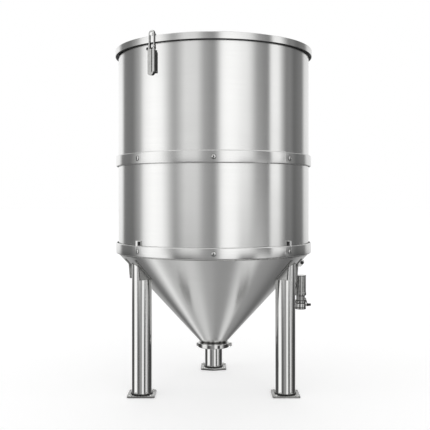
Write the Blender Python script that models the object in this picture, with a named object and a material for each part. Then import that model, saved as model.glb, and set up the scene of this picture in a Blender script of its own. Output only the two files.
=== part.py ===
"""Neutralization tank: a round stainless steel vessel with a lid and a cone bottom, on three pipe legs.

Metres, +Z up, the origin on the floor at the tank's axis. The front faces -Y.
Places around the axis are azimuths in degrees: 0 is the front and +90 is the +X side.
"""

import math

import bmesh
import bpy
from mathutils import Matrix, Vector

# Gap left between solids that touch on the real tank, and overlap of shapes joined into one solid
GAP = 0.0003
OVERLAP = 0.001

# Vessel
SHELL_RADIUS = 0.575
SHEET = 0.003
TURN_STEPS = 72
SMALL_TURN_STEPS = 36
CONE_TOP = 0.8045
CONE_APEX = 0.1742
CONE_SLOPE = SHELL_RADIUS / (CONE_TOP - CONE_APEX)
RIM_RADIUS = 0.594
RIM_TOP = 2.018
RIM_HEIGHT = 0.038
RIM_CHAMFER = 0.002
LID_RISE = 0.020
LID_FLAT_EDGE = 0.040
CURB_WIDTH = 0.014

# Hoops: quarter bands bolted to short stand-offs on the shell
HOOP_JOINT = 42.6
HOOP_OUTER = 0.590
HOOP_THICKNESS = 0.006
MID_HOOP = (1.3225, 1.387)
MID_HOOP_FRONT_RISE = 0.005
LOWER_HOOP = (0.8075, 0.870)
STANDOFF_HEIGHT = 0.036
STANDOFF_SWEEP = 4.0
STANDOFF_INSET = 2.8
LUG_AZIMUTHS = (-46.0, 46.0, -134.0, 134.0)
LUG_WIDTH = 0.026
LUG_RISE = 0.028

# Legs
LEG_RADIUS = 0.05715
LEG_WALL = 0.00305
FRONT_LEG_REACH = 0.478
REAR_LEG_REACH = 0.435
LEGS = {
    "left": (-60.0, FRONT_LEG_REACH),
    "right": (60.0, FRONT_LEG_REACH),
    "rear": (180.0, REAR_LEG_REACH),
}
LEG_TOP_MARGIN = 0.020
FOOT_SIZE = 0.158
REAR_FOOT_WIDTH = 0.168
REAR_FOOT_POINT = 0.024
FOOT_THICKNESS = 0.010
ANCHOR_HOLE_RADIUS = 0.007
ANCHOR_INSET = 0.018

# Web plates beside each leg, in planes through the tank's axis, with reaches counted from the leg's centre
WEB_THICKNESS = 0.012
WEB_DROP = 0.030
WEB_INNER = -0.100
WEB_OUTER_BOTTOM = 0.049
WEB_OUTER_TOP = 0.058

# Outlet, a clamped ferrule pair on the end of the cone
OUTLET_RADIUS = 0.0762
FERRULE_HEIGHT = 0.0145
FLANGE_RADIUS = 0.0835
FLANGE_THICKNESS = 0.0065
FLANGE_BEVEL = 0.0020
CLAMP_OUTER = 0.0955
CLAMP_LIP = 0.0785
CLAMP_TOP = 0.2565
CLAMP_HEIGHT = 0.027
CLAMP_CHAMFER = 0.002
CLAMP_PLAY = 0.0005
CLAMP_LIP_PLAY = 0.0012
CLAMP_WEDGE = 0.0026
CLAMP_SWEEP = 176.0
CLAMP_EAR = (0.003, 0.009)
CLAMP_EAR_REACH = 0.112
CLAMP_HINGE_REACH = 0.104
CLAMP_EAR_ROOT = 0.004
CLAMP_EAR_HEIGHT = 0.018
CLAMP_BOLT_REACH = 0.1045
CLAMP_BOLT_RADIUS = 0.004
CLAMP_BOLT_SPAN = (-0.026, 0.016)
CLAMP_HEAD_RADIUS = 0.0065
CLAMP_HEAD_LENGTH = 0.005
CLAMP_HUB_LENGTH = 0.010
CLAMP_WING = ((-0.0105, -0.0035), (0.0105, -0.0035), (0.0135, 0.0035), (-0.0135, 0.0035))
CLAMP_WING_HALF = 0.0018

# Probe housing on the +X side, with heights counted from its bottom
PROBE_REACH = 0.5305
PROBE_RADIUS = 0.0325
PROBE_TOP = 0.665
PROBE_BOTTOM = 0.458
PROBE_NECK = 0.026
PROBE_COLLAR = 0.002
PROBE_FLANGE = 0.004
PROBE_SPLIT = 0.0255
PROBE_TOP_RIM = 0.005
PROBE_STEP = 0.001
PROBE_TAPER = 0.005
PROBE_UNDERCUT = 0.003
PROBE_CLAMP = (0.014, 0.036)
PROBE_CLAMP_GAP = 4.0
PROBE_LIP = 0.0035
PROBE_LIP_PLAY = 0.0008
PROBE_WEDGE = 0.0012
PROBE_COLLAR_SPAN = (0.086, 0.102)
PROBE_LOWER_RING = (0.040, 0.052)
PROBE_CAP_RIM = 0.012
PROBE_EAR = (0.002, 0.007)
PROBE_EAR_REACH = 0.016
PROBE_EAR_ROOT = 0.0014
PROBE_EAR_HEIGHT = 0.014
PROBE_BOLT_REACH = 0.009
PROBE_BOLT_RADIUS = 0.003
PROBE_BOLT_SPAN = (-0.018, 0.013)
PROBE_HEAD_RADIUS = 0.006
PROBE_HEAD_LENGTH = 0.0042
PROBE_HUB_LENGTH = 0.0082
PROBE_WING = ((-0.003, 0.009), (-0.003, -0.009), (0.003, -0.020), (0.003, 0.009))
PROBE_WING_HALF = 0.0022
NOZZLE_RADIUS = 0.019
NOZZLE_HEIGHT = 0.600

# Earthing lug on the cone: its outline in (reach, height)
EARTH_LUG = ((0.49, 0.717), (0.536, 0.717), (0.5525, 0.735), (0.5525, 0.757), (0.49, 0.757))
EARTH_LUG_THICKNESS = 0.010

# Lid latches
LATCH_AZIMUTHS = {"front": -33.5, "rear": 146.5}
LATCH_WIDTH = 0.044
KEEPER_REACH = (0.578, 0.612)
BAIL_REACH = 0.604
BAIL_BAR = 0.006
BAIL_TOP = 2.0448
TRUNNION_HEIGHT = 1.945
TRUNNION_RADIUS = 0.0055
TRUNNION_LONG_END = 0.014
TRUNNION_SHORT_END = 0.002
COLLAR_RADIUS = 0.0085
COLLAR_DROP = 0.0058
COLLAR_RISE = 0.022
LEVER_BOTTOM = 1.797
LEVER_REACH = (0.600, 0.620)
LEVER_WALL = 0.003
LEVER_TOP_DROP = 0.0062
LEVER_SLOT_LEFT = 0.003
LEVER_SLOT_DROP = 0.004
HANDLE_X = 0.010
HANDLE_RADIUS = 0.0065
BRACKET_HALF_WIDTH = 0.018
BRACKET_SPAN = (1.812, 1.925)
BRACKET_THICKNESS = 0.006
CHEEK_SPAN = (1.820, 1.917)
CHEEK_SIDES = (0.012, 0.0175)


def steel(name, tint, roughness):
    """A stainless finish."""
    material = bpy.data.materials.new(name)
    material.use_nodes = True
    shader = material.node_tree.nodes["Principled BSDF"]
    shader.inputs["Base Color"].default_value = (tint, tint, tint * 0.985, 1.0)
    shader.inputs["Roughness"].default_value = roughness
    shader.inputs["Metallic"].default_value = 1.0
    return material


def add(name, mesh, finish, place=None):
    """Put a mesh into the scene as one named solid, with its faces pointing out."""
    if place is not None:
        mesh.transform(place)
    bmesh.ops.recalc_face_normals(mesh, faces=mesh.faces)
    data = bpy.data.meshes.new(name)
    mesh.to_mesh(data)
    mesh.free()
    data.shade_smooth()
    data.set_sharp_from_angle(angle=math.radians(35.0))
    data.materials.append(finish)
    solid = bpy.data.objects.new(name, data)
    bpy.context.scene.collection.objects.link(solid)
    return solid


def combine(base, tool_mesh, operation, place=None):
    """Join a shape to a solid (UNION) or cut it away (DIFFERENCE)."""
    tool = add(base.name + "_tool", tool_mesh, base.data.materials[0], place)
    tool.hide_render = True
    tool.display_type = "WIRE"
    step = base.modifiers.new(operation.lower(), "BOOLEAN")
    step.operation = operation
    step.solver = "EXACT"
    step.object = tool


def around(azimuth):
    """Turn something made at the front to its azimuth."""
    return Matrix.Rotation(math.radians(azimuth), 4, "Z")


def turned(profile, start=0.0, sweep=360.0, steps=TURN_STEPS):
    """A closed outline of (radius, height) points swept around the Z axis."""
    mesh = bmesh.new()
    full_turn = sweep >= 360.0
    columns = []
    for step in range(steps if full_turn else steps + 1):
        angle = math.radians(start + sweep * step / steps)
        column = []
        for index, (radius, height) in enumerate(profile):
            if radius == 0.0 and columns:
                column.append(columns[0][index])
            else:
                place = (radius * math.sin(angle), -radius * math.cos(angle), height)
                column.append(mesh.verts.new(place))
        columns.append(column)
    if full_turn:
        columns.append(columns[0])
    for before, after in zip(columns, columns[1:]):
        for index in range(len(profile)):
            follow = (index + 1) % len(profile)
            corners = [before[index], before[follow], after[follow], after[index]]
            corners = list(dict.fromkeys(corners))
            if len(corners) > 2:
                mesh.faces.new(corners)
    if not full_turn:
        mesh.faces.new(columns[0])
        mesh.faces.new(columns[-1])
    return mesh


def rod(radius, start, end, sides=24):
    """A round bar between two points."""
    start = Vector(start)
    along = Vector(end) - start
    outline = [(0.0, 0.0), (radius, 0.0), (radius, along.length), (0.0, along.length)]
    mesh = turned(outline, steps=sides)
    mesh.transform(Matrix.Translation(start) @ along.to_track_quat("Z", "Y").to_matrix().to_4x4())
    return mesh


def headed_bolt(span, radius, heads, head_radius):
    """A bolt along the Z axis with round heads, each from one height to another."""
    outline = [(0.0, span[0]), (radius, span[0])]
    for start, end in heads:
        outline.extend([(radius, start), (head_radius, start), (head_radius, end), (radius, end)])
    outline.extend([(radius, span[1]), (0.0, span[1])])
    return turned(outline, steps=16)


def extruded(outline, low, high, to_world):
    """A flat outline given thickness: to_world turns (u, v, depth) into a place."""
    mesh = bmesh.new()
    near = [mesh.verts.new(to_world(u, v, low)) for u, v in outline]
    far = [mesh.verts.new(to_world(u, v, high)) for u, v in outline]
    mesh.faces.new(near)
    mesh.faces.new(far)
    for index in range(len(outline)):
        follow = (index + 1) % len(outline)
        mesh.faces.new([near[index], near[follow], far[follow], far[index]])
    return mesh


def upright_plate(outline, left, right):
    """A plate in the plane through the axis: outline of (reach, height), thick along X."""
    return extruded(outline, left, right, lambda reach, height, x: (x, -reach, height))


def facing_plate(outline, inner, outer):
    """A plate that faces out: outline of (x, height), thick from the inner to the outer reach."""
    return extruded(outline, inner, outer, lambda x, height, reach: (x, -reach, height))


def flat_plate(outline, bottom, top):
    """A plate that lies flat: outline of (x, y)."""
    return extruded(outline, bottom, top, lambda x, y, height: (x, y, height))


def rectangle(left, right, bottom, top):
    """The corners of an upright or flat rectangle."""
    return [(left, bottom), (right, bottom), (right, top), (left, top)]


def bent_bar(centres, radius, sides=12):
    """A round bar along points in the plane that faces out."""
    mesh = bmesh.new()
    across = Vector((0.0, 1.0, 0.0))
    rings = []
    for index, centre in enumerate(centres):
        before = Vector(centres[max(index - 1, 0)])
        after = Vector(centres[min(index + 1, len(centres) - 1)])
        beside = (after - before).normalized().cross(across)
        ring = []
        for side in range(sides):
            angle = 2.0 * math.pi * side / sides
            offset = across * math.sin(angle) + beside * math.cos(angle)
            ring.append(mesh.verts.new(Vector(centre) + offset * radius))
        rings.append(ring)
    for before, after in zip(rings, rings[1:]):
        for side in range(sides):
            follow = (side + 1) % sides
            mesh.faces.new([before[side], before[follow], after[follow], after[side]])
    mesh.faces.new(rings[0])
    mesh.faces.new(rings[-1])
    return mesh


def half_circle(radius, height, steps):
    """Points over the top of a half circle, from its +X end to its -X end."""
    points = []
    for step in range(steps + 1):
        angle = math.pi * step / steps
        points.append((radius * math.cos(angle), height + radius * math.sin(angle)))
    return points


def cone_radius(height):
    """Outer radius of the cone bottom at a height."""
    return CONE_SLOPE * (height - CONE_APEX)


def cone_height(radius):
    """Height at which the cone bottom has an outer radius."""
    return CONE_APEX + radius / CONE_SLOPE


def vessel_clearance():
    """The cone and shell as one solid with the gap around it, for cutting what is welded on."""
    bottom = cone_height(2.0 * OUTLET_RADIUS)
    above = CONE_TOP + LEG_RADIUS
    grown = GAP * math.hypot(1.0, CONE_SLOPE)
    outline = [
        (0.0, bottom),
        (cone_radius(bottom) + grown, bottom),
        (SHELL_RADIUS + grown, CONE_TOP),
        (SHELL_RADIUS + grown, above),
        (0.0, above),
    ]
    return turned(outline)


def build_shell(finish):
    """Two rolled courses, each of two half shells, meeting behind the middle hoop."""
    inner = SHELL_RADIUS - SHEET
    joint = sum(MID_HOOP) / 2.0
    curb = SHELL_RADIUS + CURB_WIDTH
    lid_seat = RIM_TOP - SHEET - GAP
    lower = rectangle(inner, SHELL_RADIUS, CONE_TOP + GAP, joint)
    upper = [
        (inner, joint + GAP),
        (SHELL_RADIUS, joint + GAP),
        (SHELL_RADIUS, lid_seat - SHEET),
        (curb, lid_seat - SHEET),
        (curb, lid_seat),
        (inner, lid_seat),
    ]
    add_halves("lower_shell", lower, finish)
    add_halves("upper_shell", upper, finish)


def add_halves(name, outline, finish):
    """A ring made as a front half and a back half, with its joints at the sides."""
    seam = math.degrees(GAP / SHELL_RADIUS)
    for half, start in (("front", -90.0), ("back", 90.0)):
        mesh = turned(outline, start + seam / 2.0, 180.0 - seam, TURN_STEPS // 2)
        add(name + "_" + half, mesh, finish)


def build_cone(finish):
    """The cone bottom, as two half cones."""
    bottom = cone_height(OUTLET_RADIUS)
    level_wall = SHEET * math.hypot(1.0, CONE_SLOPE)
    outline = [
        (SHELL_RADIUS - level_wall, CONE_TOP),
        (OUTLET_RADIUS - level_wall, bottom),
        (OUTLET_RADIUS, bottom),
        (SHELL_RADIUS, CONE_TOP),
    ]
    add_halves("cone", outline, finish)


def build_lid(finish):
    """A shallow dished lid with a turned-down skirt and a keeper under each latch."""
    skirt_inner = RIM_RADIUS - SHEET
    crease = skirt_inner - LID_FLAT_EDGE
    underside = RIM_TOP - SHEET
    outline = [
        (0.0, underside + LID_RISE),
        (crease, underside),
        (skirt_inner, underside),
        (skirt_inner, RIM_TOP - RIM_HEIGHT),
        (RIM_RADIUS, RIM_TOP - RIM_HEIGHT),
        (RIM_RADIUS, RIM_TOP - RIM_CHAMFER),
        (RIM_RADIUS - RIM_CHAMFER, RIM_TOP),
        (crease, RIM_TOP),
        (0.0, RIM_TOP + LID_RISE),
    ]
    lid = add("lid", turned(outline), finish)
    bend = LATCH_WIDTH / 2.0 - BAIL_BAR
    half = bend - BAIL_BAR - GAP
    keeper_bottom = RIM_TOP - RIM_CHAMFER
    keeper_outline = [(half, keeper_bottom)]
    keeper_outline.extend(half_circle(half, BAIL_TOP - BAIL_BAR - bend, 10))
    keeper_outline.append((-half, keeper_bottom))
    for azimuth in LATCH_AZIMUTHS.values():
        combine(lid, facing_plate(keeper_outline, *KEEPER_REACH), "UNION", around(azimuth))


def build_hoop(name, span, front_rise, lug_azimuths, finish):
    """Four quarter bands bent round the shell, each on three stand-offs."""
    bottom, top = span
    middle = (bottom + top) / 2.0
    inner = HOOP_OUTER - HOOP_THICKNESS
    seam = math.degrees(GAP / HOOP_OUTER)
    half_height = STANDOFF_HEIGHT / 2.0
    standoff = rectangle(SHELL_RADIUS + GAP, inner + OVERLAP, middle - half_height, middle + half_height)
    lug_half = LUG_WIDTH / 2.0
    lug_outline = rectangle(-lug_half, lug_half, middle, top + LUG_RISE)
    quarters = (
        ("front", 0.0, HOOP_JOINT, front_rise),
        ("right", 90.0, 90.0 - HOOP_JOINT, 0.0),
        ("back", 180.0, HOOP_JOINT, front_rise),
        ("left", -90.0, 90.0 - HOOP_JOINT, 0.0),
    )
    for quarter, centre, half_sweep, rise in quarters:
        sweep = 2.0 * half_sweep - seam
        outline = rectangle(inner, HOOP_OUTER, bottom, top + rise)
        steps = round(sweep * TURN_STEPS / 360.0)
        band = add(name + "_" + quarter, turned(outline, centre - sweep / 2.0, sweep, steps), finish)
        end_turn = half_sweep - STANDOFF_INSET
        for turn in (-end_turn, 0.0, end_turn):
            start = centre + turn - STANDOFF_SWEEP / 2.0
            combine(band, turned(standoff, start, STANDOFF_SWEEP, 2), "UNION")
        for azimuth in lug_azimuths:
            if math.cos(math.radians(azimuth - centre)) > math.cos(math.radians(half_sweep)):
                lug = facing_plate(lug_outline, SHELL_RADIUS + GAP, HOOP_OUTER)
                combine(band, lug, "UNION", around(azimuth))


def build_foot(side, azimuth, reach, finish):
    """A foot plate with four anchor holes: square in front, pointed at the rear."""
    centre_x = reach * math.sin(math.radians(azimuth))
    centre_y = -reach * math.cos(math.radians(azimuth))
    half = FOOT_SIZE / 2.0
    half_width = REAR_FOOT_WIDTH / 2.0 if side == "rear" else half
    corners = [(-half_width, half), (-half_width, -half)]
    if side == "rear":
        corners.append((0.0, -half - REAR_FOOT_POINT))
    corners.extend([(half_width, -half), (half_width, half)])
    outline = [(centre_x + x, centre_y + y) for x, y in corners]
    plate = add("foot_plate_" + side, flat_plate(outline, 0.0, FOOT_THICKNESS), finish)
    for sign_x in (-1.0, 1.0):
        for sign_y in (-1.0, 1.0):
            x = centre_x + sign_x * (half_width - ANCHOR_INSET)
            y = centre_y + sign_y * (half - ANCHOR_INSET)
            hole = rod(ANCHOR_HOLE_RADIUS, (x, y, -FOOT_THICKNESS), (x, y, 2.0 * FOOT_THICKNESS), 16)
            combine(plate, hole, "DIFFERENCE")


def build_leg(side, azimuth, reach, finish):
    """A pipe leg coped to the cone, between two web plates, on its foot plate."""
    inner = LEG_RADIUS - LEG_WALL
    top = cone_height(reach + LEG_RADIUS + LEG_TOP_MARGIN)
    outline = rectangle(inner, LEG_RADIUS, FOOT_THICKNESS + GAP, top)
    place = around(azimuth) @ Matrix.Translation((0.0, -reach, 0.0))
    leg = add("leg_" + side, turned(outline, steps=SMALL_TURN_STEPS), finish, place)
    combine(leg, vessel_clearance(), "DIFFERENCE")
    build_foot(side, azimuth, reach, finish)
    web_bottom = cone_height(reach) - WEB_DROP
    web_outline = [
        (reach + WEB_INNER, web_bottom),
        (reach + WEB_OUTER_BOTTOM, web_bottom),
        (reach + WEB_OUTER_TOP, top),
        (reach + WEB_INNER, top),
    ]
    web_turn = math.degrees(math.asin((LEG_RADIUS + GAP) / reach))
    for hand, sign in (("a", -1.0), ("b", 1.0)):
        left, right = sorted((0.0, sign * WEB_THICKNESS))
        name = "leg_web_" + side + "_" + hand
        web = add(name, upright_plate(web_outline, left, right), finish, around(azimuth + sign * web_turn))
        combine(web, vessel_clearance(), "DIFFERENCE")


def build_outlet(finish):
    """The outlet ferrule, its blank cap, and the two-part clamp with its wing nut."""
    top = cone_height(OUTLET_RADIUS) - GAP
    bore = OUTLET_RADIUS - SHEET
    face = top - FERRULE_HEIGHT
    ferrule = [
        (bore, face),
        (FLANGE_RADIUS, face),
        (FLANGE_RADIUS, face + FLANGE_THICKNESS - FLANGE_BEVEL),
        (OUTLET_RADIUS, face + FLANGE_THICKNESS),
        (OUTLET_RADIUS, top),
        (bore, top),
    ]
    add("outlet_ferrule", turned(ferrule, steps=SMALL_TURN_STEPS), finish)
    cap_top = face - GAP
    cap_bottom = cap_top - FLANGE_THICKNESS
    cap = [
        (0.0, cap_top),
        (FLANGE_RADIUS, cap_top),
        (FLANGE_RADIUS, cap_bottom + FLANGE_BEVEL),
        (OUTLET_RADIUS, cap_bottom),
        (0.0, cap_bottom),
    ]
    add("outlet_cap", turned(cap, steps=SMALL_TURN_STEPS), finish)
    build_clamp("outlet_clamp", face - GAP / 2.0, finish)


def build_clamp(name, joint, finish):
    """Two clamp halves that grip the flanges, hinged at -X, with a bolt and wing nut at +X."""
    bottom = CLAMP_TOP - CLAMP_HEIGHT
    middle = (bottom + CLAMP_TOP) / 2.0
    groove = FLANGE_RADIUS + CLAMP_PLAY
    reach = FLANGE_THICKNESS + CLAMP_LIP_PLAY
    outline = [
        (CLAMP_LIP, CLAMP_TOP),
        (CLAMP_LIP, joint + reach),
        (groove, joint + reach - CLAMP_WEDGE),
        (groove, joint - reach + CLAMP_WEDGE),
        (CLAMP_LIP, joint - reach),
        (CLAMP_LIP, bottom),
        (CLAMP_OUTER - CLAMP_CHAMFER, bottom),
        (CLAMP_OUTER, bottom + CLAMP_CHAMFER),
        (CLAMP_OUTER, CLAMP_TOP - CLAMP_CHAMFER),
        (CLAMP_OUTER - CLAMP_CHAMFER, CLAMP_TOP),
    ]
    ear_bottom = middle - CLAMP_EAR_HEIGHT / 2.0
    ear_top = middle + CLAMP_EAR_HEIGHT / 2.0
    root = CLAMP_OUTER - CLAMP_EAR_ROOT
    hole_radius = CLAMP_BOLT_RADIUS + GAP
    for half, centre, sign in (("front", 0.0, -1.0), ("back", 180.0, 1.0)):
        ring = turned(outline, centre - CLAMP_SWEEP / 2.0, CLAMP_SWEEP, SMALL_TURN_STEPS // 2)
        piece = add(name + "_" + half, ring, finish)
        near, far = sorted(sign * y for y in CLAMP_EAR)
        for left, right in ((root, CLAMP_EAR_REACH), (-CLAMP_HINGE_REACH, -root)):
            combine(piece, flat_plate(rectangle(left, right, near, far), ear_bottom, ear_top), "UNION")
        hole_start = (CLAMP_BOLT_REACH, -CLAMP_EAR_REACH, middle)
        hole_end = (CLAMP_BOLT_REACH, CLAMP_EAR_REACH, middle)
        combine(piece, rod(hole_radius, hole_start, hole_end, 16), "DIFFERENCE")
    build_clamp_bolt(name + "_bolt", middle, finish)


def build_clamp_bolt(name, height, finish):
    """The outlet clamp's bolt, with a round head behind and a wing nut in front."""
    ear_face = CLAMP_EAR[1] + GAP
    hub = (-ear_face - CLAMP_HUB_LENGTH, -ear_face)
    head = (ear_face, ear_face + CLAMP_HEAD_LENGTH)
    hub_middle = sum(hub) / 2.0
    shank = headed_bolt(CLAMP_BOLT_SPAN, CLAMP_BOLT_RADIUS, (hub, head), CLAMP_HEAD_RADIUS)
    along_y = Matrix.Rotation(math.radians(-90.0), 4, "X")
    bolt = add(name, shank, finish, Matrix.Translation((CLAMP_BOLT_REACH, 0.0, height)) @ along_y)
    blade = extruded(CLAMP_WING, -CLAMP_WING_HALF, CLAMP_WING_HALF, lambda z, y, x: (x, y, z))
    combine(bolt, blade, "UNION", Matrix.Translation((CLAMP_BOLT_REACH, hub_middle, height)))


def build_probe(finish):
    """The probe housing at the side: nozzle, housing, end cap, and the clamp that joins them."""
    nozzle_start = cone_radius(NOZZLE_HEIGHT) - NOZZLE_RADIUS - LEG_TOP_MARGIN
    nozzle_end = PROBE_REACH - PROBE_RADIUS - GAP
    nozzle = rod(NOZZLE_RADIUS, (0.0, -nozzle_start, NOZZLE_HEIGHT), (0.0, -nozzle_end, NOZZLE_HEIGHT))
    nozzle = add("probe_nozzle", nozzle, finish, around(90.0))
    combine(nozzle, vessel_clearance(), "DIFFERENCE")

    place = around(90.0) @ Matrix.Translation((0.0, -PROBE_REACH, PROBE_BOTTOM))
    clamp_bottom, clamp_top = PROBE_CLAMP
    collar_bottom, collar_top = PROBE_COLLAR_SPAN
    ring_bottom, ring_top = PROBE_LOWER_RING
    height = PROBE_TOP - PROBE_BOTTOM
    collar = PROBE_RADIUS + PROBE_COLLAR
    flange = PROBE_NECK + PROBE_FLANGE
    housing = [
        (0.0, height),
        (collar, height),
        (collar, height - PROBE_TOP_RIM),
        (PROBE_RADIUS, height - PROBE_TOP_RIM - PROBE_STEP),
        (PROBE_RADIUS, collar_top + PROBE_COLLAR),
        (collar, collar_top),
        (collar, collar_bottom),
        (PROBE_NECK, collar_bottom - PROBE_TAPER),
        (PROBE_NECK, ring_top + PROBE_TAPER),
        (PROBE_RADIUS, ring_top),
        (PROBE_RADIUS, ring_bottom),
        (PROBE_NECK, ring_bottom - PROBE_UNDERCUT),
        (PROBE_NECK, clamp_top - PROBE_FLANGE),
        (flange, clamp_top - PROBE_FLANGE - PROBE_STEP),
        (flange, PROBE_SPLIT),
        (0.0, PROBE_SPLIT),
    ]
    add("probe_housing", turned(housing, steps=24), finish, place)
    cap = [
        (0.0, PROBE_SPLIT - GAP),
        (flange, PROBE_SPLIT - GAP),
        (flange, clamp_bottom + PROBE_FLANGE + PROBE_STEP),
        (PROBE_NECK, clamp_bottom + PROBE_FLANGE),
        (PROBE_NECK, PROBE_CAP_RIM + PROBE_STEP),
        (PROBE_RADIUS, PROBE_CAP_RIM),
        (PROBE_RADIUS, PROBE_COLLAR),
        (PROBE_RADIUS - PROBE_COLLAR, 0.0),
        (0.0, 0.0),
    ]
    add("probe_cap", turned(cap, steps=24), finish, place)
    build_probe_clamp(place, finish)


def build_probe_clamp(place, finish):
    """The clamp round the probe housing's joint, with ears, bolt and wing nut on the +X side."""
    bottom, top = PROBE_CLAMP
    groove = PROBE_NECK + PROBE_FLANGE + CLAMP_PLAY
    lip = PROBE_NECK + PROBE_LIP_PLAY
    wedge = PROBE_LIP + PROBE_WEDGE
    outer = PROBE_RADIUS - PROBE_STEP
    outline = [
        (lip, top),
        (lip, top - PROBE_LIP),
        (groove, top - wedge),
        (groove, bottom + wedge),
        (lip, bottom + PROBE_LIP),
        (lip, bottom),
        (outer, bottom),
        (outer, top),
    ]
    ring = turned(outline, PROBE_CLAMP_GAP / 2.0, 360.0 - PROBE_CLAMP_GAP, 24)
    ring = add("probe_clamp", ring, finish, place)
    middle = (bottom + top) / 2.0
    ear_bottom = middle - PROBE_EAR_HEIGHT / 2.0
    ear_top = middle + PROBE_EAR_HEIGHT / 2.0
    root = -PROBE_RADIUS + PROBE_EAR_ROOT
    tip = -PROBE_RADIUS - PROBE_EAR_REACH
    bolt_y = -PROBE_RADIUS - PROBE_BOLT_REACH
    for sign in (-1.0, 1.0):
        near, far = sorted(sign * x for x in PROBE_EAR)
        ear = flat_plate(rectangle(near, far, tip, root), ear_bottom, ear_top)
        combine(ring, ear, "UNION", place)

    hole_start = (-PROBE_RADIUS, bolt_y, middle)
    hole_end = (PROBE_RADIUS, bolt_y, middle)
    combine(ring, rod(PROBE_BOLT_RADIUS + GAP, hole_start, hole_end, 16), "DIFFERENCE", place)
    ear_face = PROBE_EAR[1] + GAP
    hub = (-ear_face - PROBE_HUB_LENGTH, -ear_face)
    head = (ear_face, ear_face + PROBE_HEAD_LENGTH)
    shank = headed_bolt(PROBE_BOLT_SPAN, PROBE_BOLT_RADIUS, (hub, head), PROBE_HEAD_RADIUS)
    bolt_place = place @ Matrix.Translation((0.0, bolt_y, middle))
    along_x = Matrix.Rotation(math.radians(90.0), 4, "Y")
    bolt = add("probe_clamp_bolt", shank, finish, bolt_place @ along_x)
    blade = flat_plate(PROBE_WING, -PROBE_WING_HALF, PROBE_WING_HALF)
    combine(bolt, blade, "UNION", bolt_place @ Matrix.Translation((sum(hub) / 2.0, 0.0, 0.0)))


def build_earth_lug(finish):
    """The earthing lug on the cone under the lower hoop, at the +X side."""
    half = EARTH_LUG_THICKNESS / 2.0
    lug = add("earth_lug", upright_plate(EARTH_LUG, -half, half), finish, around(90.0))
    combine(lug, vessel_clearance(), "DIFFERENCE")


def build_latch(side, azimuth, finish):
    """An over-centre latch: bracket on the shell, lever, and the bail over the lid's keeper."""
    turn = around(azimuth)
    build_latch_bracket("latch_bracket_" + side, turn, finish)
    build_latch_lever("latch_lever_" + side, turn, finish)
    build_latch_bail("latch_bail_" + side, turn, finish)


def build_latch_bracket(name, turn, finish):
    """A base plate on the shell with two cheeks that carry the lever."""
    shell_face = SHELL_RADIUS + GAP
    base_face = shell_face + BRACKET_THICKNESS
    base_outline = rectangle(-BRACKET_HALF_WIDTH, BRACKET_HALF_WIDTH, *BRACKET_SPAN)
    bracket = add(name, facing_plate(base_outline, shell_face, base_face), finish, turn)
    cheek_face = LEVER_REACH[0] - GAP
    for sign in (-1.0, 1.0):
        left, right = sorted(sign * x for x in CHEEK_SIDES)
        cheek = facing_plate(rectangle(left, right, *CHEEK_SPAN), base_face - OVERLAP, cheek_face)
        combine(bracket, cheek, "UNION", turn)


def build_latch_lever(name, turn, finish):
    """The lever with its rounded foot, a slot on its right, and the round bar in the slot."""
    half = LATCH_WIDTH / 2.0
    inner, outer = LEVER_REACH
    top = TRUNNION_HEIGHT - LEVER_TOP_DROP
    straight_end = LEVER_BOTTOM + half
    outline = [(half, top), (-half, top)]
    outline.extend((-x, 2.0 * straight_end - height) for x, height in half_circle(half, straight_end, 10))
    lever = add(name, facing_plate(outline, inner, outer), finish, turn)
    slot_bottom = straight_end - LEVER_SLOT_DROP
    slot_outline = rectangle(LEVER_SLOT_LEFT, half - LEVER_WALL, slot_bottom, top + HANDLE_RADIUS)
    combine(lever, facing_plate(slot_outline, inner + LEVER_WALL, outer + LEVER_WALL), "DIFFERENCE", turn)
    handle_reach = outer - HANDLE_RADIUS
    handle_bottom = (HANDLE_X, -handle_reach, slot_bottom - 2.0 * OVERLAP)
    handle_top = (HANDLE_X, -handle_reach, top - OVERLAP)
    combine(lever, rod(HANDLE_RADIUS, handle_bottom, handle_top, 16), "UNION", turn)


def build_latch_bail(name, turn, finish):
    """The bent bar over the keeper, its trunnion and the two collars on its ends."""
    half = LATCH_WIDTH / 2.0
    bend = half - BAIL_BAR
    crown = BAIL_TOP - BAIL_BAR - bend
    centres = [(bend, -BAIL_REACH, TRUNNION_HEIGHT)]
    centres.extend((x, -BAIL_REACH, height) for x, height in half_circle(bend, crown, 12))
    centres.append((-bend, -BAIL_REACH, TRUNNION_HEIGHT))
    bail = add(name, bent_bar(centres, BAIL_BAR), finish, turn)
    trunnion_start = (-half - TRUNNION_LONG_END, -BAIL_REACH, TRUNNION_HEIGHT)
    trunnion_end = (half + TRUNNION_SHORT_END, -BAIL_REACH, TRUNNION_HEIGHT)
    combine(bail, rod(TRUNNION_RADIUS, trunnion_start, trunnion_end, 16), "UNION", turn)
    for x in (-bend, bend):
        collar_bottom = (x, -BAIL_REACH, TRUNNION_HEIGHT - COLLAR_DROP)
        collar_top = (x, -BAIL_REACH, TRUNNION_HEIGHT + COLLAR_RISE)
        combine(bail, rod(COLLAR_RADIUS, collar_bottom, collar_top), "UNION", turn)


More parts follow.
